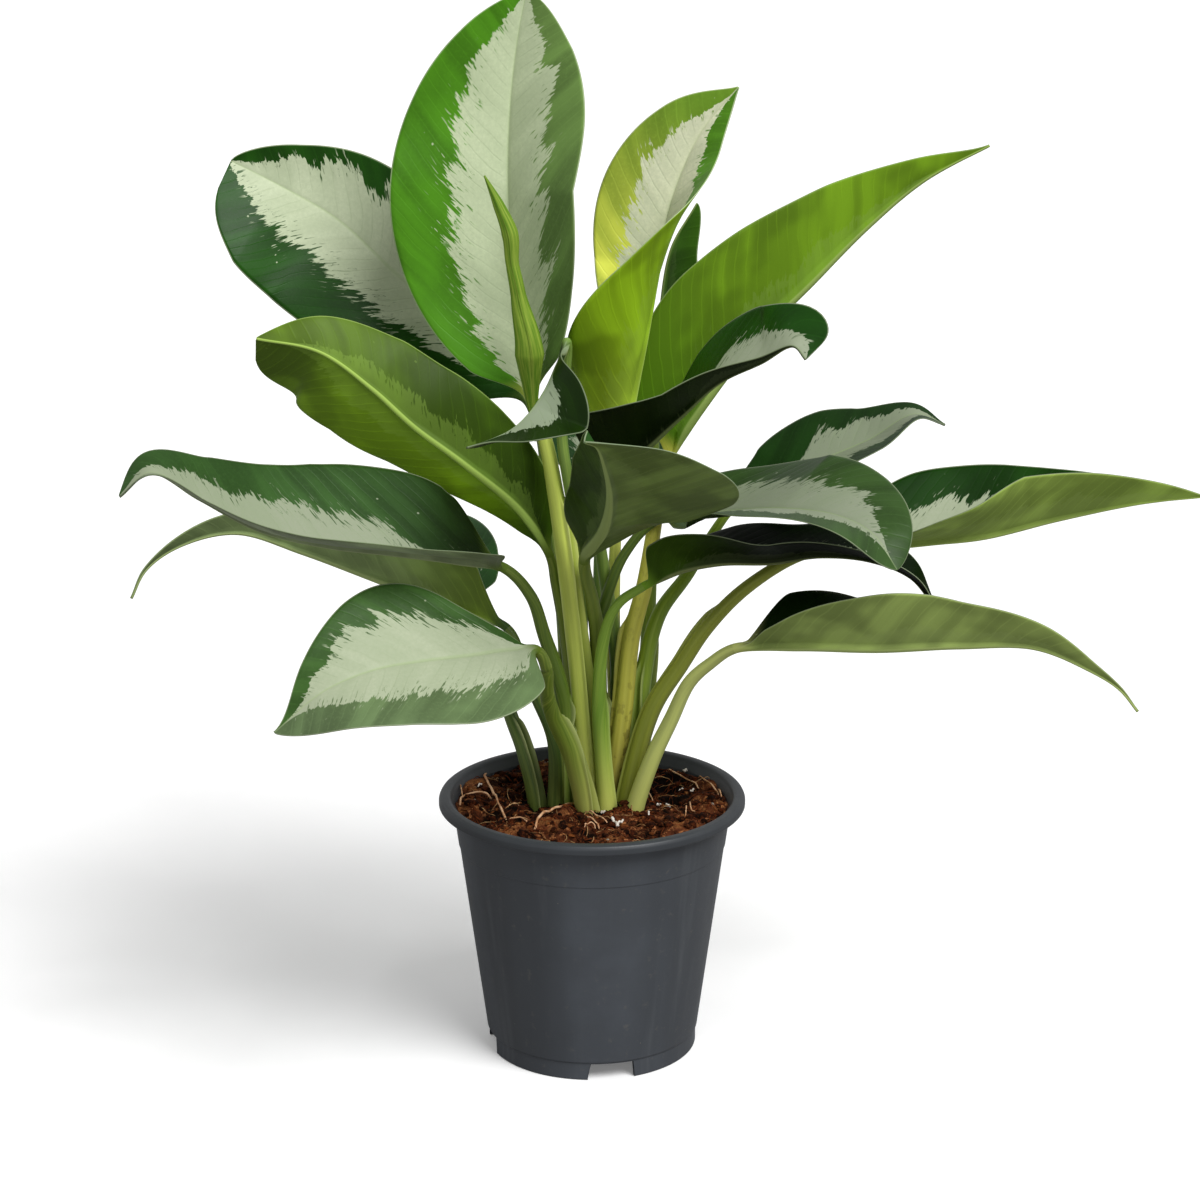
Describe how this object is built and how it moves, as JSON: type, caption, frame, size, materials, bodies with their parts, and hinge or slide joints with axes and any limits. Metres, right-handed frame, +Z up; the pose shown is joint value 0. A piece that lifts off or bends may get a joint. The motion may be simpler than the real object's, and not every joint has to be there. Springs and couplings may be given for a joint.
{
  "type": "potted chinese evergreen",
  "caption": "Variegated chinese evergreen with broad pointed leaves on long petioles, in a round tapered nursery pot of soil.",
  "frame": {"origin": "centre of the part's bounding box in plan, at the floor the pot stands on", "axes": "+Z up, +Y away from the viewer, +X to the viewer's right"},
  "size_m": [0.5928, 0.3698, 0.5801],
  "materials": {
    "pot_plastic": "satin anthracite",
    "soil": "rough fibrous soil",
    "leaf": "semi-gloss variegated leaf",
    "young_leaf": "semi-gloss young leaf"
  },
  "bodies": {
    "root": {"pot": "pot_plastic", "soil": "soil", "leaf_top_centre": "leaf", "leaf_upper_left": "leaf", "leaf_mid_left": "leaf", "leaf_young_upright": "young_leaf", "leaf_slender_back": "leaf", "leaf_right_up": "leaf", "leaf_right_middle": "leaf", "leaf_front_right": "leaf", "leaf_front_small": "leaf", "leaf_long_left": "leaf", "leaf_under_left": "leaf", "leaf_lower_left": "leaf", "leaf_right_back": "leaf", "leaf_right_front": "leaf", "leaf_under_right": "leaf", "leaf_lower_right": "leaf", "leaf_far_right": "leaf", "leaf_back_left": "leaf", "leaf_back_centre": "leaf"}
  },
  "joints": []
}
